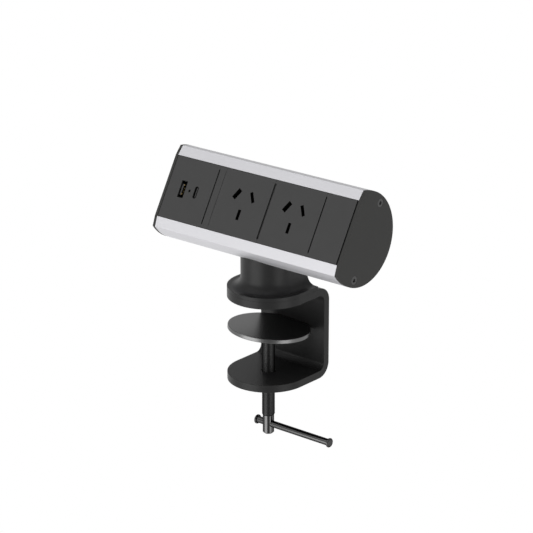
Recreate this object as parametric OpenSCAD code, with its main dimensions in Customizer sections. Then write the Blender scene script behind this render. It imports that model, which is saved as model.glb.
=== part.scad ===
// Clamp-on desk power strip: a tilted round-backed housing with two mains sockets and two
// charging ports, carried by a post on a screw clamp for the edge of a desk.
// Millimetres. The origin is on the underside of the clamp's arm, on the screw's axis.
// +X runs along the housing to the right, +Y back to the clamp's spine, +Z up.

/* [Clamp bracket] */
// Thickness of the bent plate
plate_t = 5.5; // [4:0.1:7]
// Radius of the round jaw ends, half the width of the plate
jaw_r = 29.3; // [27:0.1:34]
// Free height between the arm and the lower jaw
jaw_gap = 56.7; // [52:0.1:70]
// Distance from the screw's axis to the inner face of the spine
throat = 26.4; // [25:0.1:34]
// Inner radius of the two bends
bend_r = 5; // [3:0.1:6]

/* [Pressure plate] */
// Distance from the arm down to the middle of the pressure plate
desk_gap = 23.25; // [20:0.05:26]
// How far the pressure plate reaches past the round jaw ends
pad_proud = 0.2; // [-2:0.1:1]
// Thickness of the pressure plate
pad_t = 3; // [2:0.1:4]
// Backward lean of the pressure plate, in degrees
pad_lean = 4.6; // [0:0.1:6]
// Roll of the pressure plate to the right as shown, in degrees
pad_roll = 2.3; // [0:0.1:3]
// Gap between the plate's flat back edge and the spine, when the plate is level
pad_gap = 0.9; // [0.6:0.1:2]
// Radius of the swivel ball
ball_r = 5; // [4.8:0.1:5.6]
// Wall of the cup around the ball
cup_wall = 3.2; // [2:0.1:4]

/* [Clamp screw] */
// Radius of the thread
screw_r = 4.6; // [4.2:0.1:5.2]
// Length of the thread below the swivel ball
thread_len = 56.8; // [54:0.1:66]
// Radius of the plain head
head_r = 4.1; // [3.8:0.1:5]
// Length of the head
head_len = 14.1; // [12:0.1:18]
// Radius of the spigot inside the swivel ball
spigot_r = 2.5; // [2.2:0.1:2.7]
// Height of the threaded bush below the lower jaw
bush_h = 6; // [4:0.1:7]
// Wall of the threaded bush
bush_wall = 3.4; // [2.5:0.1:5]

/* [Tommy bar] */
// Radius of the bar
bar_r = 2.45; // [1.8:0.05:2.6]
// Height of the bar's axis above the end of the head
bar_up = 7.5; // [6:0.1:9]
// Distance from the screw's axis to the bar's near end
bar_near = 10.9; // [9:0.1:14]
// Distance from the screw's axis to the bar's far end
bar_far = 56.7; // [40:0.1:70]
// Radius of the end knobs
knob_r = 3.4; // [3:0.1:4.5]
// Thickness of the end knobs
knob_t = 1.6; // [1.2:0.1:3]

/* [Pedestal] */
// Thickness of the flange on the arm
flange_t = 2.6; // [2:0.1:4]
// Half width of the post
post_r = 19.7; // [17:0.1:21]
// Radius of the fillet at the foot of the post
foot_r = 7; // [3:0.1:7.5]
// Wall of the hollow post
post_wall = 4; // [3:0.1:6]
// Thickness of the post's roof under the housing
post_roof = 8.55; // [7:0.05:9]
// Distance from the pedestal's flat back to the start of the bend
heel_gap = 2.2; // [0:0.1:3]
// Distance from the middle to each fixing screw
fixing_x = 9; // [8:0.1:10]

/* [Housing] */
// Radius of the round back
house_r = 33.65; // [33:0.05:36]
// Height of the housing's axis above the underside of the arm
house_z = 60.2; // [59:0.1:66]
// Distance of the housing's axis in front of the screw's axis
house_front = 0.9; // [0:0.1:3]
// Backward lean of the panel, in degrees
house_lean = 30; // [20:1:40]
// Distance from the axis to the panel
panel_f = 15.5; // [14.5:0.1:16]
// Height of the panel
panel_h = 46.2; // [45.6:0.1:47]
// Slope of the two rails beside the panel, in degrees
rail_slope = 11; // [8:0.5:14]
// Wall of the extrusion
wall = 2.2; // [1.8:0.1:2.6]
// Thickness of the end caps
cap_t = 2.3; // [1.8:0.1:3]

/* [Panel] */
// Width of the charger plate
usb_w = 40.6; // [38:0.1:44]
// Width of the spacer strip
spacer_w = 6; // [5:0.1:9]
// Width of one socket module
socket_w = 45; // [44:0.1:48]
// Width of the filler plate
filler_w = 26.2; // [20:0.1:36]
// Thickness of the panel plates
face_t = 2.6; // [2.2:0.1:3]
// Width of the fine groove between the spacer and the first socket
fine_groove = 0.25; // [0.1:0.05:0.4]
// Width of the grooves beside the charger and the filler
side_groove = 0.95; // [0.6:0.05:1.4]
// Width of the groove between the sockets
wide_groove = 1.6; // [0.8:0.05:2]
// Length of the grooves
groove_len = 40.4; // [38:0.1:44]

/* [Sockets] */
// Height of the pin pattern above the middle of the panel
socket_rise = 2.7; // [1:0.1:4]
// Distance from the pattern's centre to the two slanted slots
blade_r = 7.92; // [7.8:0.01:8]
// Distance from the pattern's centre down to the earth slot
earth_r = 10.1; // [10:0.01:10.4]
// Length of the slanted slots
slot_len = 8; // [7.4:0.1:8.6]
// Length of the earth slot
earth_len = 7.5; // [7:0.1:8]
// Width of the neutral and earth slots
slot_w = 2.5; // [2:0.1:2.8]
// Width of the active slot
active_w = 3.5; // [2:0.1:3.8]
// Depth of the modules behind the panel
module_depth = 21; // [19:0.1:22]

/* [Charger] */
// Distance from the plate's left edge to the larger port
usb_a_x = 14; // [12:0.1:15]
// Distance from the plate's left edge to the smaller port
usb_c_x = 26.4; // [25:0.1:28]
// Distance from the plate's left edge to the indicator
led_x = 20.6; // [19.5:0.1:21]
// Length of the larger port's opening
usb_a_len = 12.6; // [12.5:0.1:13]
// Width of the larger port's opening
usb_a_w = 5.2; // [5:0.1:5.4]
// Length of the smaller port's opening
usb_c_len = 9; // [8.9:0.1:9.4]
// Width of the smaller port's opening
usb_c_w = 3.2; // [3.1:0.1:3.5]
// Radius of the indicator
led_r = 0.9; // [0.7:0.1:1.2]

/* [Cable entry] */
// Distance of the cable gland behind the housing's axis
gland_f = 18; // [17.8:0.1:19]
// Radius of the gland's bore
gland_bore_r = 4; // [3:0.1:4.5]
// Wall of the gland's stem
gland_wall = 2; // [1.5:0.1:2.2]
// Length of the gland outside the end cap
gland_out = 8; // [5:0.1:10]

/* [Fits] */
// Radial clearance of running fits
run_fit = 0.05; // [0.02:0.01:0.08]
// Gap between pieces that are fixed to each other
seat_gap = 0.05; // [0.02:0.01:0.1]
// Gap around pieces that pass through a hole
pass_gap = 0.4; // [0.3:0.05:0.6]
// Gap between the panel plates and the rails
rail_gap = 0.3; // [0.1:0.05:0.5]
// Gap between the charger plate and the left end cap
charger_gap = 0.3; // [0.1:0.05:1.2]
// Gap between the filler plate and the right end cap
filler_gap = 1; // [0.5:0.05:1.2]

/* [Hidden] */
$fn = 96;

// Cutters run this far past the faces that they cut
past = 1;
// Larger than the whole housing section
beyond = 3 * house_r;

// Colours
satin_black = [0.18, 0.18, 0.18];
panel_black = [0.24, 0.24, 0.24];
anodised = [0.82, 0.82, 0.84];
black_nickel = [0.3, 0.3, 0.31];
steel = [0.62, 0.62, 0.64];
brass = [0.75, 0.6, 0.3];
board_green = [0.1, 0.35, 0.2];
moulding_grey = [0.55, 0.56, 0.58];

// Places along the screw's axis, measured from the ball's centre
ball_top = 1.8;
ball_low = 2.8;
neck_len = 1.2;
neck_wall = 1.1;
neck_r = spigot_r + neck_wall;
shoulder = ball_low + neck_len + seat_gap;
ring_t = 0.7;
ring_low = ball_top + 2 * seat_gap;
ring_depth = 0.5;
ring_stand = 0.9;
ring_r = spigot_r + ring_stand;
spigot_tip = 0.4;
spigot_top = ring_low + ring_t + spigot_tip;
cup_room = 0.6;
cup_ceiling = spigot_top + cup_room;
cup_lip = 2.4;
cup_step = 0.3;
cup_r = ball_r + cup_wall;
ball_drop = cup_ceiling + pad_t;
ball_z = -desk_gap - ball_drop * cos(pad_lean) * cos(pad_roll);
thread_end = ball_z - shoulder - thread_len;
head_end = thread_end - head_len;
bar_z = head_end + bar_up;
thread_chamfer = 0.6;
head_chamfer = 0.9;
knob_edge = 0.4;
pad_r = jaw_r + pad_proud;

// Threaded bush in the lower jaw
bush_r = screw_r + bush_wall;
bush_spigot_r = screw_r + bush_wall / 2;
bush_cover = 2;

// Pedestal
back_y = throat - bend_r - heel_gap;
foot_z = plate_t + flange_t;
wall_z = house_z - house_r;
cavity_z = wall_z - post_roof;
pillar_r = 4.6;
foot_screw_r = 2.4;
foot_head_r = 4.6;
foot_screw_y = 7;
foot_screw_top = 15;
head_sink = 0.4;
hex_r = 1.7;
hex_depth = 1.6;

// Housing section: u runs up the panel, f forward out of it
house_len = usb_w + spacer_w + 2 * socket_w + filler_w;
left_x = -house_len / 2;
right_x = house_len / 2;
lip_w = 1.8;
lip_t = 1.6;
seat_f = panel_f - face_t;
lip_f = seat_f - lip_t;
lip_gap = 0.3;
module_h = panel_h - 2 * (lip_w + lip_gap);
rear_f = seat_f - module_depth;
port_r = 4;
port_merge = 1;
port_angle = 12.2;
port_ring = house_r - wall - port_r + port_merge;
port_u = port_ring * cos(port_angle);
port_f = -port_ring * sin(port_angle);
cap_screw_r = 1.5;
cap_head_r = 3;
cap_screw_len = 14;
cap_sink = 0.1;
cap_hex_r = 1.5;
cap_hex_depth = 1.2;
house_screw_r = 2;
house_head_r = 3.8;
house_head_h = 2.4;
house_screw_len = 10;
spot_depth = 0.4;
spot_z = wall_z + wall - spot_depth;

// Places along the panel
spacer_x = left_x + usb_w;
socket_1_x = spacer_x + spacer_w;
socket_2_x = socket_1_x + socket_w;
filler_x = socket_2_x + socket_w;
plate_gap = 0.06;
groove_depth = 1.2;
clip_w = 8;
clip_t = 1.5;
clip_hook = 0.9;
side_gap = 0.5;

// Contacts: two brass leaves on a base, with a tail through the module's back
leaf_t = 0.8;
leaf_w = 6.4;
leaf_gap = 1.9;
base_t = 1;
tail_w = 1.6;
tail_t = 1;
tail_shift = 2.4;
pocket_floor = 3;
pocket_gap = 0.3;
contact_t = leaf_gap + 2 * leaf_t;
contact_f = rear_f + pocket_floor;
leaf_setback = 5;
contact_top = seat_f - leaf_setback;
blade_angle = 30;

// Conductors behind the modules
bar_w = 2;
bar_t = 1.2;
tail_rise = tail_shift * cos(blade_angle);
active_u = socket_rise + blade_r * sin(blade_angle) + tail_rise;
neutral_u = socket_rise + blade_r * sin(blade_angle) - tail_rise;
earth_u = socket_rise - earth_r;

// Charger
board_t = 1.6;
board_rise = 11;
board_f = rear_f + board_rise;
shell_t = 0.3;
shell_sink = 0.4;
shell_f = panel_f - shell_sink;
port_len = shell_f - board_f - board_t;
port_mid = (shell_f + board_f + board_t) / 2;
tongue_a_t = 1.2;
tongue_a_len = 8;
tongue_a_gap = 0.5;
tongue_a_setback = 0.8;
tongue_a_off = (usb_a_w - tongue_a_t) / 2 - seat_gap - shell_t - tongue_a_gap;
tongue_c_t = 0.8;
tongue_c_len = 6.8;
tongue_c_setback = 0.6;
lens_sink = 0.6;
box_wall = 1.5;
box_left = 6;
box_x = left_x + box_left;
box_w = usb_w - box_left - side_gap;
post_w = 3;

// Terminal block
block_h = 28;
block_d = 10;
block_inset = 3;
block_x = box_x + block_inset;
block_w = 22;
wire_r = 1.8;
wire_depth = 12;
wire_screw_r = 1.5;
driver_slot = 0.6;
terminal_spread = 2;
terminal_u = [active_u + terminal_spread, neutral_u - terminal_spread, earth_u];
terminal_f = rear_f - bar_t - block_d / 2;

// Gland
stem_r = gland_bore_r + gland_wall;
gland_shoulder = 2;
gland_chamfer = 1.5;
gland_r = stem_r + gland_shoulder;
stem_in = 7;
nut_t = 3.5;
nut_wall = 3;
nut_r = stem_r + nut_wall;

// Places children in the housing's own frame: x along it, y up the panel, z out of the panel
module in_housing() {
    translate([0, -house_front, house_z]) rotate([90 - house_lean, 0, 0]) children();
}

// Places children about the swivel ball's centre
module at_ball() {
    translate([0, 0, ball_z]) children();
}

// Extrudes a y-z outline along x, starting at x
module along_x(x, length) {
    translate([x, 0, 0]) rotate([90, 0, 90]) linear_extrude(length) children();
}

// Cylinder along x, starting at x
module rod_x(x, length, r) {
    translate([x, 0, 0]) rotate([0, 90, 0]) cylinder(h = length, r = r);
}

// Half round front and straight sides, ending in a flat back
module round_front(r, back) {
    circle(r);
    translate([-r, 0]) square([2 * r, back]);
}

// Rectangle whose two back corners are rounded
module rounded_back(front, back, low, high, r) {
    translate([-front, low]) square([front + back - r, high - low]);
    translate([-front, low + r]) square([front + back, high - low - 2 * r]);
    for (z = [low + r, high - r]) translate([back - r, z]) circle(r);
}

// Side view of the bent plate
module bracket_profile() {
    difference() {
        rounded_back(jaw_r, throat + plate_t, -jaw_gap - plate_t, plate_t, bend_r + plate_t);
        rounded_back(jaw_r + past, throat, -jaw_gap, 0, bend_r);
    }
}

// One fixing screw's place on each side of the middle
module each_fixing(y) {
    for (side = [-1, 1]) translate([side * fixing_x, y, 0]) children();
}

// Countersunk screw with its head down at z = 0
module countersunk(r, head_r, length, hex, depth) {
    difference() {
        union() {
            cylinder(h = head_r - r, r1 = head_r, r2 = r);
            cylinder(h = length, r = r);
        }
        translate([0, 0, -past]) cylinder(h = depth + past, r = hex, $fn = 6);
    }
}

// Clearance hole for such a screw
module countersink(r, head_r, length) {
    translate([0, 0, -past]) cylinder(h = past, r = head_r);
    cylinder(h = head_r - r, r1 = head_r, r2 = r);
    cylinder(h = length, r = r);
}

module clamp_bracket() color(satin_black) difference() {
    intersection() {
        along_x(-jaw_r, 2 * jaw_r) bracket_profile();
        translate([0, 0, -jaw_gap - plate_t - past])
            linear_extrude(jaw_gap + 2 * plate_t + 2 * past) round_front(jaw_r, throat + plate_t + past);
    }
    translate([0, 0, -jaw_gap - plate_t - past]) cylinder(h = plate_t + 2 * past, r = screw_r + pass_gap);
    translate([0, 0, -jaw_gap - plate_t - past])
        cylinder(h = plate_t - bush_cover + past, r = bush_spigot_r + seat_gap);
    each_fixing(foot_screw_y) translate([0, 0, head_sink])
        countersink(foot_screw_r + pass_gap, foot_head_r + pass_gap, plate_t + past);
}

module clamp_nut() color(black_nickel) difference() {
    union() {
        translate([0, 0, -jaw_gap - plate_t - bush_h]) cylinder(h = bush_h, r = bush_r);
        translate([0, 0, -jaw_gap - plate_t - past])
            cylinder(h = plate_t - bush_cover - seat_gap + past, r = bush_spigot_r);
    }
    translate([0, 0, -jaw_gap - plate_t - bush_h - past])
        cylinder(h = bush_h + plate_t + 2 * past, r = screw_r + run_fit);
}

module clamp_screw() color(black_nickel) difference() {
    rotate_extrude() polygon([
        [0, head_end],
        [head_r - head_chamfer, head_end],
        [head_r, head_end + head_chamfer],
        [head_r, thread_end],
        [screw_r - thread_chamfer, thread_end],
        [screw_r, thread_end + thread_chamfer],
        [screw_r, ball_z - shoulder],
        [spigot_r, ball_z - shoulder],
        [spigot_r, ball_z + ring_low],
        [spigot_r - ring_depth, ball_z + ring_low],
        [spigot_r - ring_depth, ball_z + ring_low + ring_t],
        [spigot_r, ball_z + ring_low + ring_t],
        [spigot_r, ball_z + spigot_top],
        [0, ball_z + spigot_top]
    ]);
    translate([0, 0, bar_z]) rod_x(-head_r - past, 2 * (head_r + past), bar_r + run_fit);
}

module swivel_ball() color(steel) at_ball() difference() {
    union() {
        intersection() {
            sphere(ball_r);
            translate([0, 0, -ball_low]) cylinder(h = ball_low + ball_top, r = ball_r + past);
        }
        translate([0, 0, -ball_low - neck_len]) cylinder(h = neck_len + past, r = neck_r);
    }
    translate([0, 0, -ball_r - past]) cylinder(h = 2 * (ball_r + past), r = spigot_r + run_fit);
}

module ball_retaining_ring() color(steel) at_ball() translate([0, 0, ring_low + seat_gap / 2]) difference() {
    cylinder(h = ring_t - seat_gap, r = ring_r);
    translate([0, 0, -past]) cylinder(h = ring_t + 2 * past, r = spigot_r - ring_depth + seat_gap);
}

module pressure_plate() color(black_nickel) at_ball() rotate([-pad_lean, pad_roll, 0]) intersection() {
    translate([0, 0, cup_ceiling]) cylinder(h = pad_t, r = pad_r);
    translate([-pad_r - past, -pad_r - past, 0])
        cube([2 * (pad_r + past), pad_r + past + throat - pad_gap, ball_drop + past]);
}

module plate_socket() color(black_nickel) at_ball() rotate([-pad_lean, pad_roll, 0]) difference() {
    translate([0, 0, -cup_lip]) cylinder(h = cup_lip + cup_ceiling, r = cup_r);
    sphere(ball_r + run_fit);
    cylinder(h = cup_ceiling + past, r = ball_r - cup_step);
}

module tommy_bar() color(black_nickel) translate([0, 0, bar_z]) rod_x(-bar_near, bar_near + bar_far, bar_r);

module tommy_bar_caps() color(black_nickel)
    for (x = [-bar_near, bar_far - knob_t]) translate([x, 0, bar_z]) rotate([0, 90, 0])
        rotate_extrude() polygon([
            [bar_r + seat_gap, 0],
            [knob_r - knob_edge, 0],
            [knob_r, knob_edge],
            [knob_r, knob_t - knob_edge],
            [knob_r - knob_edge, knob_t],
            [bar_r + seat_gap, knob_t]
        ]);

// Section of the fillet between the post and its flange
module foot_fillet() {
    difference() {
        translate([post_r - past, -past]) square([foot_r + past, foot_r + past]);
        translate([post_r + foot_r, foot_r]) circle(foot_r);
    }
}

module pedestal() color(satin_black) difference() {
    union() {
        translate([0, 0, plate_t]) linear_extrude(flange_t) round_front(jaw_r, back_y);
        translate([0, 0, plate_t]) linear_extrude(house_z - plate_t) round_front(post_r, back_y);
        translate([0, 0, foot_z]) rotate([0, 0, 180]) rotate_extrude(angle = 180) foot_fillet();
        for (side = [0, 1]) mirror([side, 0, 0]) translate([0, back_y, foot_z]) rotate([90, 0, 0])
            linear_extrude(back_y) foot_fillet();
    }
    in_housing() rod_x(left_x, house_len, house_r + seat_gap);
    difference() {
        translate([0, 0, plate_t - past]) linear_extrude(cavity_z - plate_t + past)
            round_front(post_r - post_wall, back_y - post_wall);
        each_fixing(foot_screw_y) cylinder(h = cavity_z + past, r = pillar_r);
    }
    each_fixing(foot_screw_y) cylinder(h = foot_screw_top + past, r = foot_screw_r + seat_gap);
    each_fixing(-house_front) translate([0, 0, spot_z - house_screw_len - past])
        cylinder(h = house_r, r = house_screw_r + seat_gap);
}

module pedestal_screws() color(steel) each_fixing(foot_screw_y) translate([0, 0, head_sink + seat_gap])
    countersunk(foot_screw_r, foot_head_r, foot_screw_top - head_sink, hex_r, hex_depth);

module housing_screws() color(steel) each_fixing(-house_front) difference() {
    union() {
        translate([0, 0, spot_z + seat_gap]) cylinder(h = house_head_h, r = house_head_r);
        translate([0, 0, spot_z - house_screw_len]) cylinder(h = house_screw_len + past, r = house_screw_r);
    }
    translate([0, 0, spot_z + house_head_h - hex_depth]) cylinder(h = house_head_h, r = hex_r, $fn = 6);
}

// Everything behind the panel and its two sloping rails, set back by inset
module behind_rails(inset) {
    edge_f = panel_f - inset;
    end_f = edge_f - (beyond - panel_h / 2) * tan(rail_slope);
    polygon([
        [-beyond, -beyond],
        [beyond, -beyond],
        [beyond, end_f],
        [panel_h / 2, edge_f],
        [-panel_h / 2, edge_f],
        [-beyond, end_f]
    ]);
}

module housing_outline() {
    intersection() {
        circle(house_r);
        behind_rails(0);
    }
}

module each_port() {
    for (side = [-1, 1]) translate([side * port_u, port_f]) children();
}

// Section of the extrusion: skin, lips that carry the panel plates, and ports for the cap screws
module extrusion_profile() {
    difference() {
        union() {
            difference() {
                housing_outline();
                intersection() {
                    circle(house_r - wall);
                    behind_rails(wall);
                }
            }
            intersection() {
                housing_outline();
                for (side = [-1, 1]) translate([side * panel_h / 2, (lip_f + panel_f) / 2])
                    square([2 * lip_w, panel_f - lip_f], center = true);
            }
            intersection() {
                housing_outline();
                each_port() circle(port_r);
            }
        }
        translate([-panel_h / 2, seat_f]) square([panel_h, face_t + past]);
        translate([-panel_h / 2 + lip_w, lip_f - past]) square([panel_h - 2 * lip_w, face_t + lip_t + past]);
        each_port() circle(cap_screw_r + seat_gap);
    }
}

module housing_extrusion() color(anodised) difference() {
    in_housing() along_x(left_x, house_len) extrusion_profile();
    each_fixing(-house_front) {
        translate([0, 0, wall_z - past]) cylinder(h = wall + past, r = house_screw_r + pass_gap / 2);
        translate([0, 0, spot_z]) cylinder(h = house_head_h + wall, r = house_head_r + pass_gap);
    }
}

// Places children at the two screws of one cap, with z pointing into the housing
module each_cap_screw(side) {
    for (u = [-port_u, port_u])
        translate([side * (house_len / 2 + cap_t), u, port_f]) rotate([0, -side * 90, 0]) children();
}

module end_cap(side) {
    difference() {
        along_x(side > 0 ? right_x + seat_gap : left_x - cap_t, cap_t - seat_gap) housing_outline();
        each_cap_screw(side) translate([0, 0, cap_sink])
            countersink(cap_screw_r + seat_gap, cap_head_r + seat_gap, cap_t + past);
    }
}

module left_end_cap() color(panel_black) in_housing() difference() {
    end_cap(-1);
    translate([0, 0, -gland_f]) rod_x(left_x - cap_t - past, cap_t + 2 * past, stem_r + seat_gap);
}

module right_end_cap() color(panel_black) in_housing() end_cap(1);

module end_cap_screws() color(satin_black) in_housing()
    for (side = [-1, 1]) each_cap_screw(side) translate([0, 0, cap_sink])
        countersunk(cap_screw_r, cap_head_r, cap_screw_len, cap_hex_r, cap_hex_depth);

// Panel plate from x to x + width, with its sides relieved to make the grooves
module face_plate(x, width, left_groove, right_groove) {
    difference() {
        translate([x + plate_gap / 2, -panel_h / 2 + rail_gap, seat_f])
            cube([width - plate_gap, panel_h - 2 * rail_gap, face_t]);
        for (cut = [[x, left_groove], [x + width, right_groove]])
            if (cut[1] > 0) translate([cut[0] - cut[1] / 2, -groove_len / 2, panel_f - groove_depth])
                cube([cut[1], groove_len, groove_depth + past]);
    }
}

// Two hooks that catch under the extrusion's lips
module clip_hooks(x) {
    for (side = [0, 1]) mirror([0, side, 0])
        translate([x - clip_w / 2, module_h / 2 - clip_hook, lip_f - seat_gap - clip_t])
            cube([clip_w, 2 * clip_hook, clip_t]);
}

// Hooked legs behind a plain plate
module clip_legs(x, width) {
    for (side = [0, 1]) mirror([0, side, 0])
        translate([x - width / 2, module_h / 2 - clip_t, lip_f - seat_gap - clip_t])
            cube([width, clip_t, lip_t + seat_gap + clip_t + past]);
    intersection() {
        clip_hooks(x);
        translate([x - width / 2, -panel_h, -house_r]) cube([width, 2 * panel_h, 2 * house_r]);
    }
}

module usb_faceplate() color(panel_black) in_housing() difference() {
    face_plate(left_x + charger_gap, usb_w - charger_gap, 0, side_groove);
    translate([left_x + usb_a_x, 0, panel_f]) cube([usb_a_w, usb_a_len, 2 * face_t + past], center = true);
    translate([left_x + usb_c_x, 0, panel_f]) round_slot(usb_c_len, usb_c_w, 2 * face_t + past);
    translate([left_x + led_x, 0, seat_f - past]) cylinder(h = face_t + 2 * past, r = led_r + seat_gap);
}

// Upright slot with round ends, centred
module round_slot(length, width, depth) {
    cube([width, length - width, depth], center = true);
    for (side = [-1, 1]) translate([0, side * (length - width) / 2, 0])
        cylinder(h = depth, r = width / 2, center = true);
}

module usb_a_shell() color(black_nickel) in_housing()
    translate([left_x + usb_a_x, 0, port_mid]) difference() {
        cube([usb_a_w - 2 * seat_gap, usb_a_len - 2 * seat_gap, port_len], center = true);
        inset = 2 * (seat_gap + shell_t);
        translate([0, 0, shell_t]) cube([usb_a_w - inset, usb_a_len - inset, port_len], center = true);
    }

// Tongue of a port, standing on the closed end of its shell
module port_tongue(length, thickness, setback) {
    translate([-thickness / 2, -length / 2, -port_len / 2 + shell_t])
        cube([thickness, length, port_len - setback]);
}

module usb_a_tongue() color(panel_black) in_housing()
    translate([left_x + usb_a_x - tongue_a_off, 0, port_mid])
        port_tongue(tongue_a_len, tongue_a_t, tongue_a_setback);

module usb_c_shell() color(black_nickel) in_housing()
    translate([left_x + usb_c_x, 0, port_mid]) difference() {
        round_slot(usb_c_len - 2 * seat_gap, usb_c_w - 2 * seat_gap, port_len);
        inset = 2 * (seat_gap + shell_t);
        translate([0, 0, shell_t]) round_slot(usb_c_len - inset, usb_c_w - inset, port_len);
    }

module usb_c_tongue() color(panel_black) in_housing()
    translate([left_x + usb_c_x, 0, port_mid]) port_tongue(tongue_c_len, tongue_c_t, tongue_c_setback);

module usb_led_lens() color([0.9, 0.9, 0.9]) in_housing()
    translate([left_x + led_x, 0, board_f + board_t])
        cylinder(h = panel_f - lens_sink - board_f - board_t, r = led_r);

module usb_circuit_board() color(board_green) in_housing()
    translate([box_x + box_wall + side_gap, -module_h / 2 + box_wall + side_gap, board_f])
        cube([box_w - 2 * (box_wall + side_gap), module_h - 2 * (box_wall + side_gap), board_t]);

module usb_module_back() color(satin_black) in_housing() {
    difference() {
        translate([box_x, -module_h / 2, rear_f]) cube([box_w, module_h, module_depth]);
        translate([box_x + box_wall, -module_h / 2 + box_wall, rear_f + box_wall])
            cube([box_w - 2 * box_wall, module_h - 2 * box_wall, module_depth]);
    }
    for (x = [box_x, box_x + box_w - post_w], u = [-module_h / 2, module_h / 2 - post_w])
        translate([x, u, rear_f]) cube([post_w, post_w, board_f - rear_f]);
    clip_hooks(box_x + box_w / 2);
}

module spacer_strip() color(panel_black) in_housing() {
    face_plate(spacer_x, spacer_w, side_groove, fine_groove);
    clip_legs(spacer_x + spacer_w / 2, spacer_w - 2 * side_gap);
}

module filler_plate() color(panel_black) in_housing() {
    face_plate(filler_x, filler_w - filler_gap, side_groove, 0);
    clip_legs(filler_x + filler_w / 2, clip_w);
}

// Places children at one pin of a socket, with y along its slot: -1 active, 1 neutral, 0 earth
module at_pin(x, side) {
    rise = side == 0 ? -earth_r : blade_r * sin(blade_angle);
    translate([x + side * blade_r * cos(blade_angle), socket_rise + rise, 0])
        rotate([0, 0, side * blade_angle]) children();
}

module each_pin(x) {
    for (side = [-1, 0, 1]) at_pin(x, side) children();
}

module socket_face(x, left_groove, right_groove) {
    difference() {
        face_plate(x, socket_w, left_groove, right_groove);
        for (slot = [[-1, active_w, slot_len], [1, slot_w, slot_len], [0, slot_w, earth_len]])
            at_pin(x + socket_w / 2, slot[0]) translate([0, 0, panel_f])
                cube([slot[1], slot[2], 2 * face_t + past], center = true);
    }
}

// Places children at the three contact tails of a socket centred at x
module each_tail(x) {
    for (side = [-1, 0, 1]) at_pin(x, side) translate([0, -side * tail_shift, 0]) children();
}

module socket_back(x) {
    width = socket_w - 2 * side_gap;
    difference() {
        translate([x + side_gap, -module_h / 2, rear_f]) cube([width, module_h, module_depth]);
        each_pin(x + socket_w / 2) translate([0, 0, contact_f + module_depth / 2])
            cube([contact_t + 2 * pocket_gap, slot_len + 2 * pocket_gap, module_depth], center = true);
        each_tail(x + socket_w / 2) translate([0, 0, rear_f])
            cube([tail_t + pocket_gap, tail_w + pocket_gap, 2 * pocket_floor + past], center = true);
    }
    clip_hooks(x + socket_w / 2);
}

module socket_contacts(x) {
    each_pin(x + socket_w / 2) {
        translate([0, 0, contact_f + base_t / 2]) cube([contact_t, leaf_w, base_t], center = true);
        for (side = [-1, 1]) translate([side * (leaf_gap + leaf_t) / 2, 0, (contact_f + contact_top) / 2])
            cube([leaf_t, leaf_w, contact_top - contact_f], center = true);
    }
    each_tail(x + socket_w / 2) translate([0, 0, (rear_f + contact_f + base_t / 2) / 2])
        cube([tail_t, tail_w, contact_f - rear_f + base_t / 2], center = true);
}

module socket_1_face() color(panel_black) in_housing() socket_face(socket_1_x, fine_groove, wide_groove);
module socket_1_back() color(moulding_grey) in_housing() socket_back(socket_1_x);
module socket_1_contacts() color(brass) in_housing() socket_contacts(socket_1_x);
module socket_2_face() color(panel_black) in_housing() socket_face(socket_2_x, wide_groove, side_groove);
module socket_2_back() color(moulding_grey) in_housing() socket_back(socket_2_x);
module socket_2_contacts() color(brass) in_housing() socket_contacts(socket_2_x);

// Flat bar behind the modules, from the terminal block to the far socket
module busbar(u) {
    bar_start = block_x + wire_depth;
    bar_end = socket_2_x + socket_w / 2 + blade_r * cos(blade_angle) + slot_len / 2;
    translate([bar_start, u - bar_w / 2, rear_f - bar_t]) cube([bar_end - bar_start, bar_w, bar_t]);
}

module active_busbar() color(brass) in_housing() busbar(active_u);
module neutral_busbar() color(brass) in_housing() busbar(neutral_u);
module earth_busbar() color(brass) in_housing() busbar(earth_u);

module terminal_block() color(moulding_grey) in_housing() difference() {
    translate([block_x, -block_h / 2, rear_f - bar_t - block_d]) cube([block_w, block_h, block_d]);
    for (u = terminal_u) {
        translate([0, u, terminal_f]) rod_x(block_x - past, wire_depth + past, wire_r);
        translate([block_x + wire_depth / 2, u, rear_f - bar_t - block_d - past])
            cylinder(h = block_d / 2 + past, r = wire_screw_r + seat_gap);
    }
}

module terminal_screws() color(brass) in_housing() for (u = terminal_u)
    translate([block_x + wire_depth / 2, u, rear_f - bar_t - block_d]) difference() {
        cylinder(h = block_d / 2 - wire_r / 2, r = wire_screw_r);
        cube([3 * wire_screw_r, driver_slot, 2 * driver_slot], center = true);
    }

module cable_gland() color(satin_black) in_housing() translate([left_x, 0, -gland_f]) rotate([0, 90, 0])
    rotate_extrude() polygon([
        [gland_bore_r, -cap_t - gland_out],
        [gland_r - gland_chamfer, -cap_t - gland_out],
        [gland_r, -cap_t - gland_out + gland_chamfer],
        [gland_r, -cap_t - seat_gap],
        [stem_r, -cap_t - seat_gap],
        [stem_r, stem_in],
        [gland_bore_r, stem_in]
    ]);

module gland_nut() color(satin_black) in_housing() difference() {
    translate([left_x + seat_gap, 0, -gland_f]) rotate([0, 90, 0]) cylinder(h = nut_t, r = nut_r, $fn = 6);
    translate([0, 0, -gland_f]) rod_x(left_x - past, nut_t + 2 * past, stem_r + seat_gap);
}

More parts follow.
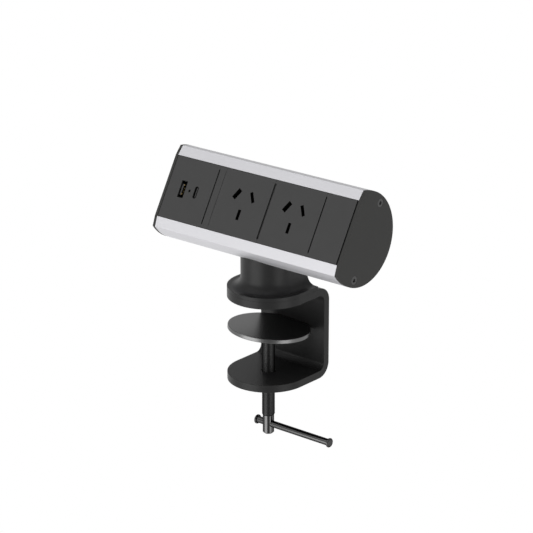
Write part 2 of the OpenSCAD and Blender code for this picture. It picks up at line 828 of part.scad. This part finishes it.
clamp_bracket();
clamp_nut();
clamp_screw();
swivel_ball();
ball_retaining_ring();
pressure_plate();
plate_socket();
tommy_bar();
tommy_bar_caps();
pedestal();
pedestal_screws();
housing_screws();
housing_extrusion();
left_end_cap();
right_end_cap();
end_cap_screws();
usb_faceplate();
usb_a_shell();
usb_a_tongue();
usb_c_shell();
usb_c_tongue();
usb_led_lens();
usb_circuit_board();
usb_module_back();
spacer_strip();
socket_1_face();
socket_1_back();
socket_1_contacts();
socket_2_face();
socket_2_back();
socket_2_contacts();
filler_plate();
active_busbar();
neutral_busbar();
earth_busbar();
terminal_block();
terminal_screws();
cable_gland();
gland_nut();
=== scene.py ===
import math

import bmesh
import bpy
from mathutils import Matrix, Vector


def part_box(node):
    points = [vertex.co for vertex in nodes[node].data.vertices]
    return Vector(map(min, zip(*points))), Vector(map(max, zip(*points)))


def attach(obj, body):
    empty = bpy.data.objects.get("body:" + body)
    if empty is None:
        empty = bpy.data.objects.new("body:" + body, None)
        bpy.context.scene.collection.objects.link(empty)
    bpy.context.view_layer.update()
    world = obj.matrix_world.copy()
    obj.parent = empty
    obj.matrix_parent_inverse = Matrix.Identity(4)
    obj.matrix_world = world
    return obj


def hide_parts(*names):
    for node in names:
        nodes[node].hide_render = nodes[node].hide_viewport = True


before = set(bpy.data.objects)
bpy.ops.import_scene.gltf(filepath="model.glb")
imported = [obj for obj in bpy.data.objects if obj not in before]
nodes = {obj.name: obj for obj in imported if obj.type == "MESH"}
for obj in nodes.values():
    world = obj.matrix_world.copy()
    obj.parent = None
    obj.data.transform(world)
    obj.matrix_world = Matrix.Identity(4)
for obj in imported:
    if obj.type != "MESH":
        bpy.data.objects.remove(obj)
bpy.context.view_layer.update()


# Camera: a long lens to the right of the front, looking down on the strip from a little above.
# Its place was solved from the sockets' slots and the grooves between the plates of the panel.
mm = 0.001
scene = bpy.context.scene
view_azimuth = math.radians(40.088)
view_elevation = math.radians(19.612)
view_distance = 1706.7 * mm
aim_right = -1.4 * mm
aim_up = 20.2 * mm
film_width = 36
lens_length = 163.85
to_right = Vector((math.cos(view_azimuth), math.sin(view_azimuth), 0))
to_camera = Vector((
    math.sin(view_azimuth) * math.cos(view_elevation),
    -math.cos(view_azimuth) * math.cos(view_elevation),
    math.sin(view_elevation),
))
upward = to_camera.cross(to_right)
camera = bpy.data.objects.new("camera", bpy.data.cameras.new("camera"))
scene.collection.objects.link(camera)
camera.matrix_world = Matrix((to_right, upward, to_camera)).transposed().to_4x4()
camera.location = to_camera * view_distance + to_right * aim_right + upward * aim_up
camera.data.sensor_width = film_width
camera.data.lens = lens_length
scene.camera = camera
scene.view_settings.view_transform = "Standard"


# Studio: a white room that dims upwards, a soft box low at either side, one overhead, and a pale
# floor as far down as a desk is high. The room looks white to the eye and in reflections, except
# that the side the photographer stands on is dim in them, and it lights the strip at a lower level.
class Signal:
    """A socket of a node tree. Arithmetic on it adds Math nodes, and node() adds any other node."""

    def __init__(self, tree, socket=None):
        self.tree = tree
        self.socket = socket

    def node(self, kind, settings=None, sockets=None, out=0):
        made = self.tree.nodes.new(kind)
        for name, value in (settings or {}).items():
            setattr(made, name, value)
        for name, value in (sockets or {}).items():
            if isinstance(value, Signal):
                self.tree.links.new(value.socket, made.inputs[name])
            else:
                made.inputs[name].default_value = value
        return Signal(self.tree, made.outputs[out] if made.outputs else None)

    def maths(self, operation, first, second):
        return self.node("ShaderNodeMath", {"operation": operation}, {0: first, 1: second})

    def __add__(self, other):
        return self.maths("ADD", self, other)

    def __radd__(self, other):
        return self.maths("ADD", other, self)

    def __sub__(self, other):
        return self.maths("SUBTRACT", self, other)

    def __rsub__(self, other):
        return self.maths("SUBTRACT", other, self)

    def __mul__(self, other):
        return self.maths("MULTIPLY", self, other)

    def __rmul__(self, other):
        return self.maths("MULTIPLY", other, self)

    def between(self, low, high, start, end):
        """Eases from start to end while this value goes from low to high."""
        return self.node(
            "ShaderNodeMapRange",
            {"interpolation_type": "SMOOTHSTEP"},
            {"Value": self, "From Min": low, "From Max": high, "To Min": start, "To Max": end},
        )


def ray_kinds(start):
    """Whether a ray comes from the camera, from a reflection or through something clear."""
    kinds = ("Is Camera Ray", "Is Glossy Ray", "Is Transmission Ray")
    return [start.node("ShaderNodeLightPath", out=kind) for kind in kinds]


room = bpy.data.worlds.new("white_room")
room.use_nodes = True
room.node_tree.nodes.clear()
scene.world = room
sky = Signal(room.node_tree)
room_light = 0.55
# A shade is the share of the light that is lost, and its edge is where that starts and is complete.
upper_shade = 0.5
upper_edge = (0.1, 0.45)
front_shade = 0.7
front_edge = (0.78, 0.92)
direction = sky.node("ShaderNodeTexCoord", out="Generated")
height = sky.node("ShaderNodeSeparateXYZ", {}, {0: direction}, "Z")
to_front = Vector((math.sin(view_azimuth), -math.cos(view_azimuth), 0))
front = sky.node(
    "ShaderNodeVectorMath", {"operation": "DOT_PRODUCT"}, {0: direction, 1: to_front}, "Value"
)
seen, mirrored, through = ray_kinds(sky)
shown = sky.maths("MAXIMUM", sky.maths("MAXIMUM", seen, mirrored), through)
dim_front = 1 - mirrored * front.between(*front_edge, 0, front_shade)
dim_above = 1 - (1 - seen) * height.between(*upper_edge, 0, upper_shade)
strength = (room_light + (1 - room_light) * shown) * dim_front * dim_above
glow = sky.node("ShaderNodeBackground", {}, {"Color": (1, 1, 1, 1), "Strength": strength})
sky.node("ShaderNodeOutputWorld", {}, {"Surface": glow})


def soft_box(name, place, width, height, watts):
    """Area light that faces the middle of the strip and stays out of the picture."""
    lamp = bpy.data.lights.new(name, "AREA")
    lamp.shape = "RECTANGLE"
    lamp.size = width
    lamp.size_y = height
    lamp.energy = watts
    box = bpy.data.objects.new(name, lamp)
    scene.collection.objects.link(box)
    box.location = place
    box.rotation_euler = (-Vector(place)).to_track_quat("-Z", "Y").to_euler()
    box.visible_camera = False


soft_box("left_soft_box", place=(-0.28, -1.32, -0.38), width=1.2, height=1.0, watts=11.0)
soft_box("right_soft_box", place=(1.335, -0.14, -0.42), width=0.75, height=0.95, watts=4.3)
soft_box("overhead_soft_box", place=(-0.6, -0.75, 1.3), width=1.4, height=1.4, watts=5.8)

floor_drop = 720 * mm
floor_radius = 1100 * mm
fade_start = 0.4 * floor_radius
fade_end = 0.98 * floor_radius
floor_whiteness = 0.8
floor_mesh = bpy.data.meshes.new("floor")
disc = bmesh.new()
bmesh.ops.create_circle(disc, cap_ends=True, radius=floor_radius, segments=96)
disc.to_mesh(floor_mesh)
disc.free()
floor = bpy.data.objects.new("floor", floor_mesh)
floor.location.z = -floor_drop
scene.collection.objects.link(floor)
pale = bpy.data.materials.new("pale_floor")
pale.use_nodes = True
pale.node_tree.nodes.clear()
ground = Signal(pale.node_tree)
spot = ground.node("ShaderNodeTexCoord", out="Object")
reach = ground.node("ShaderNodeVectorMath", {"operation": "LENGTH"}, {0: spot}, "Value")
paper = ground.node("ShaderNodeBsdfDiffuse", {}, {"Color": (0.78, 0.78, 0.78, 1)})
white = ground.node("ShaderNodeEmission", {}, {"Color": (1, 1, 1, 1), "Strength": 0.95})
seen, mirrored, through = ray_kinds(ground)
whitened = floor_whiteness * seen + ground.maths("MAXIMUM", mirrored, through)
lit = ground.node("ShaderNodeMixShader", {}, {0: whitened, 1: paper, 2: white})
gone = ground.node("ShaderNodeBsdfTransparent")
fading = reach.between(fade_start, fade_end, 0, 1)
faded = ground.node("ShaderNodeMixShader", {}, {0: fading, 1: lit, 2: gone})
ground.node("ShaderNodeOutputMaterial", {}, {"Surface": faded})
floor_mesh.materials.append(pale)


def finish(name, recipe):
    """Material whose shader takes its values and signals from recipe."""
    made = bpy.data.materials.new(name)
    made.use_nodes = True
    made.node_tree.nodes.clear()
    start = Signal(made.node_tree)
    shader = start.node("ShaderNodeBsdfPrincipled", {}, recipe(start))
    start.node("ShaderNodeOutputMaterial", {}, {"Surface": shader})
    return made


def grain(start, scale, detail=2.0):
    """Noise in the piece's own space. A scale of three numbers stretches it along an axis."""
    place = start.node("ShaderNodeTexCoord", out="Object")
    stretched = start.node("ShaderNodeVectorMath", {"operation": "MULTIPLY"}, {0: place, 1: scale})
    return start.node("ShaderNodeTexNoise", {}, {"Vector": stretched, "Scale": 1.0, "Detail": detail})


def shade(start, factor, first, second):
    """Colour that goes from first to second with factor. The first may be a signal."""
    first = first if isinstance(first, Signal) else (*first, 1)
    # A Mix node has its own sockets for each type of data, and these are the ones for colours.
    colour_a, colour_b, colour_out = 6, 7, 2
    colours = {0: factor, colour_a: first, colour_b: (*second, 1)}
    return start.node("ShaderNodeMix", {"data_type": "RGBA"}, colours, colour_out)


def grey(level):
    return (level, level, level)


def raised(start, height, depth, strength=1.0):
    """Normal of a surface with that height in it, depth metres deep."""
    return start.node(
        "ShaderNodeBump", {}, {"Height": height, "Distance": depth, "Strength": strength}, "Normal"
    )


def powder_coat(start):
    peel = grain(start, (900, 900, 900))
    patch = grain(start, (60, 60, 60))
    return {
        "Base Color": shade(start, patch, grey(0.019), grey(0.0235)),
        "Roughness": 0.32 + 0.1 * peel,
        "Specular IOR Level": 0.14,
        "Normal": raised(start, peel, 0.03 * mm, 0.5),
    }


def soften(name, edge, material, steps=3):
    """Gives a CAD node its finish and breaks its sharp edges."""
    node = nodes[name]
    node.material_slots[0].material = material
    weld = node.modifiers.new("weld", "WELD")
    weld.merge_threshold = 0.001 * mm
    flat = node.modifiers.new("flat_faces", "DECIMATE")
    flat.decimate_type = "DISSOLVE"
    flat.angle_limit = math.radians(0.2)
    rounded = node.modifiers.new("broken_edges", "BEVEL")
    rounded.width = edge
    rounded.segments = steps
    rounded.limit_method = "ANGLE"
    rounded.angle_limit = math.radians(32)
    rounded.use_clamp_overlap = True
    clean = node.modifiers.new("no_slivers", "WELD")
    clean.merge_threshold = 0.0001 * mm
    even = node.modifiers.new("even_shading", "WEIGHTED_NORMAL")
    even.keep_sharp = False
    return node


satin_black = finish("satin_powder_coat", powder_coat)
soften("clamp_bracket", 0.5 * mm, satin_black)


# Pedestal: a die-cast post with a wide filleted foot, in the same satin black powder coat.
# Two countersunk zinc-plated screws come up through the arm and hold it.
def zinc(start):
    patch = grain(start, (700, 700, 700))
    return {
        "Base Color": shade(start, patch, (0.5, 0.51, 0.53), (0.62, 0.63, 0.64)),
        "Metallic": 1.0,
        "Roughness": 0.24 + 0.16 * patch,
        "Normal": raised(start, patch, 0.004 * mm),
    }


zinc_plate = finish("zinc_plated_steel", zinc)
soften("pedestal", 0.4 * mm, satin_black)
soften("pedestal_screws", 0.1 * mm, zinc_plate)


# Threaded bush: a turned steel bush pressed into the lower jaw, which the clamp screw runs in.
# It is blackened like the screw, with fine turning marks round it.
def blackened(start):
    turning = grain(start, (40, 40, 9000))
    patch = grain(start, (300, 300, 300))
    return {
        "Base Color": shade(start, patch, grey(0.032), grey(0.039)),
        "Metallic": 1.0,
        "Roughness": 0.35 + 0.08 * turning,
        "Specular Tint": (*grey(0.25), 1),
        "Normal": raised(start, turning, 0.003 * mm),
    }


blackened_steel = finish("blackened_steel", blackened)
soften("clamp_nut", 0.3 * mm, blackened_steel)


# Clamp screw: turned steel with a fine rolled thread, blackened like the bush.
# A spigot on top carries the swivel ball, and the plain head, which takes the tommy bar,
# is polished and black nickel plated.
def polished_black(start):
    drawing = grain(start, (400, 2500, 2500))
    return {
        "Base Color": shade(start, drawing, grey(0.075), grey(0.09)),
        "Metallic": 1.0,
        "Roughness": 0.12 + 0.06 * drawing,
        "Specular Tint": (*grey(0.25), 1),
        "Normal": raised(start, drawing, 0.001 * mm),
    }


def piece(name, shape, material, body, *stands_for):
    """Links a finished mesh as a new piece that moves with a body of the frame."""
    bmesh.ops.recalc_face_normals(shape, faces=shape.faces)
    mesh = bpy.data.meshes.new(name)
    for face in shape.faces:
        face.smooth = True
    shape.to_mesh(mesh)
    shape.free()
    mesh.set_sharp_from_angle(angle=math.radians(25))
    mesh.materials.append(material)
    made = bpy.data.objects.new(name, mesh)
    scene.collection.objects.link(made)
    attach(made, body)
    if stands_for:
        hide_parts(*stands_for)
    return made


def lathe(shape, outline, around=72, place=Matrix(), ribs=None):
    """Turns (radius, height) points round the Z axis of place, and returns the rings of points."""
    rings = []
    for step, (radius, height) in enumerate(outline):
        ring = []
        for turn in range(around):
            angle = 2 * math.pi * turn / around
            reach = radius + (ribs(step, angle) if ribs else 0)
            spot = Vector((reach * math.cos(angle), reach * math.sin(angle), height))
            ring.append(shape.verts.new(place @ spot))
        rings.append(ring)
    for low, high in zip(rings, rings[1:]):
        for turn in range(around):
            after = (turn + 1) % around
            shape.faces.new((low[turn], low[after], high[after], high[turn]))
    return rings


pitch = 1.0 * mm
thread_depth = 0.45 * mm
thread_length = 56.8 * mm
thread_lead = 0.6 * mm
spigot_length = 7.05 * mm
spigot_radius = 2.5 * mm
spigot_chamfer = 0.3 * mm
spigot_sunk = 0.1 * mm
groove_radius = 2.0 * mm
groove_width = 0.7 * mm
groove_setback = 0.4 * mm
head_gap = 0.02 * mm
screw_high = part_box("clamp_screw")[1]
thread_radius = screw_high.x
spigot_top = screw_high.z
thread_top = spigot_top - spigot_length
thread_end = thread_top - thread_length
groove_high = spigot_top - groove_setback
groove_low = groove_high - groove_width
turns_around = 64
# Shares of the pitch and of the thread's depth, where the crest starts and ends and at the root.
thread_steps = ((0.0, 0.0), (0.25, 0.0), (0.625, 1.0))

polished_nickel = finish("polished_black_nickel", polished_black)
screw = bmesh.new()
# The head is the solid's own, cut off just below the thread.
head = bmesh.new()
head.from_mesh(nodes["clamp_screw"].data)
bmesh.ops.remove_doubles(head, verts=head.verts, dist=0.001 * mm)
bmesh.ops.bisect_plane(
    head,
    geom=[*head.verts, *head.edges, *head.faces],
    plane_co=(0, 0, thread_end - head_gap),
    plane_no=(0, 0, 1),
    clear_outer=True,
)
bmesh.ops.holes_fill(head, edges=[edge for edge in head.edges if edge.is_boundary])
for face in head.faces:
    face.material_index = 1
head_mesh = bpy.data.meshes.new("screw_head")
head.to_mesh(head_mesh)
head.free()
screw.from_mesh(head_mesh)
bpy.data.meshes.remove(head_mesh)

# A row of points climbs one pitch in a turn, so its end joins the row that is one pitch higher.
rows = []
for step in range(round((thread_top - thread_end) / pitch) + 2):
    for along, cut in thread_steps:
        row = []
        for turn in range(turns_around):
            height = thread_end + (step - 1 + along + turn / turns_around) * pitch
            height = min(max(height, thread_end), thread_top)
            crest = thread_radius - cut * thread_depth
            lead = min(height - thread_end, thread_top - height)
            reach = min(crest, thread_radius - thread_lead + lead)
            angle = 2 * math.pi * turn / turns_around
            row.append(screw.verts.new((reach * math.cos(angle), reach * math.sin(angle), height)))
        rows.append(row)
step_rows = len(thread_steps)
for low in range(len(rows) - step_rows - 1):
    for turn in range(turns_around):
        after = (turn + 1) % turns_around
        rise = step_rows if after == 0 else 0
        screw.faces.new((
            rows[low][turn],
            rows[low + rise][after],
            rows[low + rise + 1][after],
            rows[low + 1][turn],
        ))
bmesh.ops.remove_doubles(screw, verts=screw.verts, dist=0.002 * mm)
bmesh.ops.dissolve_degenerate(screw, edges=screw.edges, dist=0.001 * mm)
bmesh.ops.holes_fill(screw, edges=[edge for edge in screw.edges if edge.is_boundary])
spigot = lathe(
    screw,
    (
        (spigot_radius, thread_top - spigot_sunk),
        (spigot_radius, groove_low),
        (groove_radius, groove_low),
        (groove_radius, groove_high),
        (spigot_radius, groove_high),
        (spigot_radius, spigot_top - spigot_chamfer),
        (spigot_radius - spigot_chamfer, spigot_top),
    ),
)
for ring in (spigot[0], spigot[-1]):
    screw.faces.new(ring)
threaded = piece("clamp_screw_threaded", screw, blackened_steel, "screw", "clamp_screw")
threaded.data.materials.append(polished_nickel)


# Swivel: a turned ball on the screw's spigot, kept there by a spring ring.
# Both are bright steel, with the same look as the plated screws.
soften("swivel_ball", 0.1 * mm, zinc_plate)
soften("ball_retaining_ring", 0.05 * mm, zinc_plate)


# Pressure plate: a pressed steel disc with a cup under it, which closes round the swivel ball.
# Both are black nickel plated and brushed one way, and the flat faces are a touch rougher.
def black_nickel(start):
    brushing = grain(start, (4000, 60, 4000))
    outward = start.node("ShaderNodeTexCoord", out="Normal")
    upwards = start.node("ShaderNodeSeparateXYZ", {}, {0: outward}, "Z")
    return {
        "Base Color": shade(start, brushing, grey(0.125), grey(0.142)),
        "Metallic": 1.0,
        "Roughness": 0.08 * brushing + (upwards * upwards).between(0.3, 0.8, 0.27, 0.29),
        "Specular Tint": (*grey(0.9), 1),
        "Normal": raised(start, brushing, 0.002 * mm),
    }


plated_black = finish("black_nickel", black_nickel)
soften("pressure_plate", 0.45 * mm, plated_black, steps=4)
soften("plate_socket", 0.3 * mm, plated_black)


# Tommy bar: a drawn rod that slides through the screw's head, with a thin turned knob at each
# end so that it can't fall out. Both are plated and polished like the head; the knobs' ends are painted
# darker as shade.
def knob_with_shaded_ends(start):
    values = polished_black(start)
    outward = start.node("ShaderNodeTexCoord", out="Normal")
    along_bar = start.node("ShaderNodeSeparateXYZ", {}, {0: outward}, "X")
    # Painted shade: the faces that look along the bar, the knobs' ends, get a darker colour.
    painted_shade_end = (along_bar * along_bar).between(0.8, 0.95, 0, 1)
    values["Base Color"] = shade(start, painted_shade_end, values["Base Color"], grey(0.04))
    return values


soften("tommy_bar", 0.2 * mm, polished_nickel)
soften("tommy_bar_caps", 0.12 * mm, finish("black_nickel_shaded_ends", knob_with_shaded_ends))


# Housing: an aluminium extrusion with a round back and two bright rails beside the panel.
# It is satin anodised, with faint die lines along its length, and two screws hold it to the post.
def anodised(start):
    die_lines = grain(start, (12, 2200, 2200), 3.0)
    cloud = grain(start, (25, 25, 25))
    return {
        "Base Color": shade(start, cloud, (0.62, 0.617, 0.64), (0.66, 0.657, 0.68)),
        "Metallic": 0.85,
        "Roughness": 0.44 + 0.12 * die_lines,
        "Normal": raised(start, die_lines, 0.003 * mm),
    }


satin_anodised = finish("satin_anodised_aluminium", anodised)
soften("housing_extrusion", 0.15 * mm, satin_anodised)
soften("housing_screws", 0.1 * mm, zinc_plate)


# Wiring: three brass busbars along the back of the housing, and a terminal block of pale nylon
# for the supply. The brass is bare and a little tarnished, and its colour is darkened as painted shade,
# so that the contacts deep in the sockets stay dark.
def bare_brass(start):
    tarnish = grain(start, (250, 250, 250), 4.0)
    return {
        # Painted shade: both colours are far darker than bare brass, with the tarnish mixing between
        # them.
        "Base Color": shade(start, tarnish, (0.3, 0.2, 0.07), (0.6, 0.45, 0.19)),
        "Metallic": 1.0,
        "Roughness": 0.46 - 0.14 * tarnish,
        "Normal": raised(start, tarnish, 0.003 * mm),
    }


def moulded(first, second, roughness, texture, gloss=0.25):
    """Recipe for a moulded plastic whose tool left a fine even texture."""

    def recipe(start):
        spark = grain(start, (texture, texture, texture), 1.0)
        flow = grain(start, (90, 90, 90))
        return {
            "Base Color": shade(start, flow, first, second),
            "Roughness": roughness + 0.12 * spark,
            "Specular IOR Level": gloss,
            "Normal": raised(start, spark, 0.012 * mm, 0.6),
        }

    return recipe


brass_tarnish_and_painted_shade = finish("brass_tarnish_and_painted_shade", bare_brass)
plain_nylon = moulded((0.5, 0.49, 0.45), (0.56, 0.55, 0.5), roughness=0.45, texture=1500)
pale_nylon = finish("pale_nylon", plain_nylon)
for busbar in ("active_busbar", "neutral_busbar", "earth_busbar"):
    soften(busbar, 0.06 * mm, brass_tarnish_and_painted_shade)
soften("terminal_block", 0.2 * mm, pale_nylon)
soften("terminal_screws", 0.08 * mm, brass_tarnish_and_painted_shade)


# Sockets behind the panel: a moulded black box each, with three folded brass contacts in it.
# Their faces come later, with the other plates of the panel.
black_plastic = moulded(grey(0.004), grey(0.006), roughness=0.5, texture=1800, gloss=0.12)
black_moulding = finish("black_moulding", black_plastic)
for socket in ("socket_1", "socket_2"):
    soften(socket + "_back", 0.15 * mm, black_moulding)
    soften(socket + "_contacts", 0.05 * mm, brass_tarnish_and_painted_shade)


# Charger: a moulded box with a board of green laminate, two folded steel port shells, and a smoked
# lens in front of the indicator. The ports' tongues are moulded, with brass contact springs on them,
# and the walls of the plate's openings over them are painted near-black as shade.
def laminate(start):
    place = start.node("ShaderNodeTexCoord", out="Object")
    tracks = start.node(
        "ShaderNodeTexBrick",
        {"offset": 0.3, "squash": 1.5},
        {
            "Vector": place,
            "Color1": (0.01, 0.1, 0.04, 1),
            "Color2": (0.012, 0.13, 0.05, 1),
            "Mortar": (0.3, 0.2, 0.08, 1),
            "Scale": 160.0,
            "Mortar Size": 0.06,
        },
    )
    weave = grain(start, (1800, 1800, 1800))
    return {
        "Base Color": tracks,
        "Roughness": 0.35 + 0.15 * weave,
        "Normal": raised(start, weave, 0.006 * mm),
    }


def smoked(start):
    haze = grain(start, (2500, 2500, 2500))
    return {
        "Base Color": shade(start, haze, grey(0.002), grey(0.004)),
        "Roughness": 0.22 + 0.1 * haze,
        "Specular IOR Level": 0.1,
    }


soften("usb_circuit_board", 0.05 * mm, finish("green_laminate", laminate))
soften("usb_module_back", 0.2 * mm, black_moulding)
# From the housing's own directions, along it, up its panel and out of the panel, to the frame's.
housing_lean = math.radians(30)
housing_y = -0.9 * mm
housing_z = 60.2 * mm
in_housing = Matrix((
    (1, 0, 0, 0),
    (0, math.sin(housing_lean), -math.cos(housing_lean), housing_y),
    (0, math.cos(housing_lean), math.sin(housing_lean), housing_z),
    (0, 0, 0, 1),
))
panel_normal = in_housing.to_3x3() @ Vector((0, 0, 1))
panel_plastic = moulded(grey(0.054), grey(0.06), roughness=0.55, texture=2600)


def slotted(plate, half_width):
    """Recipe for a grey plate with painted shade: the walls of its openings, near its middle, are
    near-black.
    """
    low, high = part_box(plate)
    middle = (low.x + high.x) / 2

    def recipe(start):
        values = panel_plastic(start)
        outward = start.node("ShaderNodeTexCoord", out="Normal")
        to_panel = start.node(
            "ShaderNodeVectorMath", {"operation": "DOT_PRODUCT"}, {0: outward, 1: panel_normal}, "Value"
        )
        place = start.node("ShaderNodeTexCoord", out="Object")
        across = start.node("ShaderNodeSeparateXYZ", {}, {0: place}, "X") - middle
        within = start.maths("ABSOLUTE", across, 0).between(half_width, 1.1 * half_width, 1, 0)
        # Painted shade: faces side-on to the panel, inside the openings, are coloured near-black.
        painted_shade_wall = to_panel.between(0.3, 0.8, 1, 0)
        values["Base Color"] = shade(start, painted_shade_wall * within, values["Base Color"], grey(0.001))
        return values

    return recipe


# The walls of the charger plate's openings carry the painted shade.
charger_grey = finish("charger_grey", slotted("usb_faceplate", 12 * mm))
soften("usb_a_shell", 0.05 * mm, blackened_steel)
soften("usb_c_shell", 0.05 * mm, blackened_steel)
soften("usb_a_tongue", 0.08 * mm, charger_grey)
soften("usb_c_tongue", 0.06 * mm, charger_grey)
soften("usb_led_lens", 0.1 * mm, finish("smoked_lens", smoked))


def spring(shape, face, side, rise, width, thickness, path):
    """Folded contact strip on one face of a tongue. The path is (out, forward) points in mm."""
    rows = []
    for out, forward in path:
        near = face + side * out * mm
        far = near + side * thickness
        low, high = rise - width / 2, rise + width / 2
        corners = ((near, low), (near, high), (far, high), (far, low))
        rows.append([shape.verts.new(in_housing @ Vector((x, up, forward * mm))) for x, up in corners])
    for row, following in zip(rows, rows[1:]):
        for corner in range(4):
            after = (corner + 1) % 4
            shape.faces.new((row[corner], row[after], following[after], following[corner]))
    for end in (rows[0], rows[-1]):
        shape.faces.new(end)


def spread(count, spacing):
    """Places of that many things in a row, with the middle of the row at 0."""
    return [(place - (count - 1) / 2) * spacing for place in range(count)]


# Points along a large spring in mm: out from the tongue, and forward from the spring's tip.
bowed = (
    (0, -6.4), (0, -2.4), (0.2, -2.0), (0.45, -1.3),
    (0.5, -0.9), (0.4, -0.5), (0.15, -0.15), (0, 0),
)
large_width, large_thickness, large_spacing = 1.0 * mm, 0.18 * mm, 2.2 * mm
large_tips = (14.5, 13.4, 13.4, 14.5)
large_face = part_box("usb_a_tongue")[1].x
contacts = bmesh.new()
for rise, tip in zip(spread(len(large_tips), large_spacing), large_tips):
    path = [(out, tip + back) for out, back in bowed]
    spring(contacts, large_face, 1, rise, large_width, large_thickness, path)
piece("usb_a_contacts", contacts, brass_tarnish_and_painted_shade, "strip")

# The small springs lie flat along both faces, and their tips dip into the tongue.
straight = ((0, 9.6), (0, 13.3), (-0.08, 13.5))
small_width, small_thickness, small_spacing = 0.4 * mm, 0.08 * mm, 1.1 * mm
small_count = 6
small_low, small_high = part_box("usb_c_tongue")
contacts = bmesh.new()
for rise in spread(small_count, small_spacing):
    for face, side in ((small_low.x, -1), (small_high.x, 1)):
        spring(contacts, face, side, rise, small_width, small_thickness, straight)
piece("usb_c_contacts", contacts, brass_tarnish_and_painted_shade, "strip")


# Panel: five moulded plates that clip in side by side, in a dark grey with a fine matt texture.
# Shallow grooves part them, and the socket faces have their three slots cut through.
plate_edge = 0.08 * mm
panel_grey = finish("matt_grey_panel", panel_plastic)
soften("usb_faceplate", plate_edge, charger_grey)
for plate in ("spacer_strip", "filler_plate"):
    soften(plate, plate_edge, panel_grey)
for plate in ("socket_1_face", "socket_2_face"):
    # The walls of the slots carry the same painted shade.
    soften(plate, plate_edge, finish(plate + "_grey", slotted(plate, 15 * mm)))


# End caps: two flat moulded caps in a slightly warmer and darker grey than the panel.
# Each is held by two countersunk screws, painted grey, that run into the ports of the extrusion.
cap_plastic = moulded((0.036, 0.036, 0.0345), (0.04, 0.04, 0.0385), roughness=0.55, texture=2200)
cap_grey = finish("matt_grey_cap", cap_plastic)
soften("left_end_cap", 0.3 * mm, cap_grey)
soften("right_end_cap", 0.3 * mm, cap_grey)
screw_paint = moulded(grey(0.08), grey(0.088), roughness=0.45, texture=2600)
soften("end_cap_screws", 0.08 * mm, finish("painted_screw", screw_paint))


# Cable gland: a ribbed nylon gland through the left cap, and its hexagonal lock nut inside.
# The ribs are for gripping it while the nut is done up, and the bore is open.
gland_low, gland_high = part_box("cable_gland")
gland_length = gland_high.x - gland_low.x
gland_middle = (gland_low + gland_high) / 2
gland_end = Matrix.Translation((gland_low.x, gland_middle.y, gland_middle.z))
gland_place = gland_end @ Matrix.Rotation(math.pi / 2, 4, "Y")
gland_bore, gland_stem, gland_rim = 4.0 * mm, 6.0 * mm, 8.0 * mm
bore_chamfer = 0.3 * mm
nose_chamfer = 1.4 * mm
nose_taper = 0.1 * mm
neck_start, neck_width, neck_depth = 6.5 * mm, 0.6 * mm, 0.6 * mm
flange_back = 7.95 * mm
gland_ribs = 24
rib_depth = 0.45 * mm
ribbed_rings = (3, 4, 5)


def grip(step, angle):
    """The outer rings of the gland are ribbed, and the others stay round."""
    if step not in ribbed_rings:
        return 0
    return -rib_depth * (0.5 - 0.5 * math.cos(gland_ribs * angle)) ** 2


gland = bmesh.new()
lathe(
    gland,
    (
        (gland_bore, gland_length),
        (gland_bore, bore_chamfer),
        (gland_bore + bore_chamfer, 0),
        (gland_rim - nose_taper - nose_chamfer, 0),
        (gland_rim - nose_taper, nose_chamfer),
        (gland_rim, neck_start),
        (gland_rim - neck_depth, neck_start + neck_width / 2),
        (gland_rim, neck_start + neck_width),
        (gland_rim, flange_back),
        (gland_stem, flange_back),
        (gland_stem, gland_length),
        (gland_bore, gland_length),
    ),
    gland_ribs * 8,
    gland_place,
    grip,
)
bmesh.ops.remove_doubles(gland, verts=gland.verts, dist=0.001 * mm)
piece("cable_gland_ribbed", gland, black_moulding, "strip", "cable_gland")
soften("gland_nut", 0.3 * mm, black_moulding)
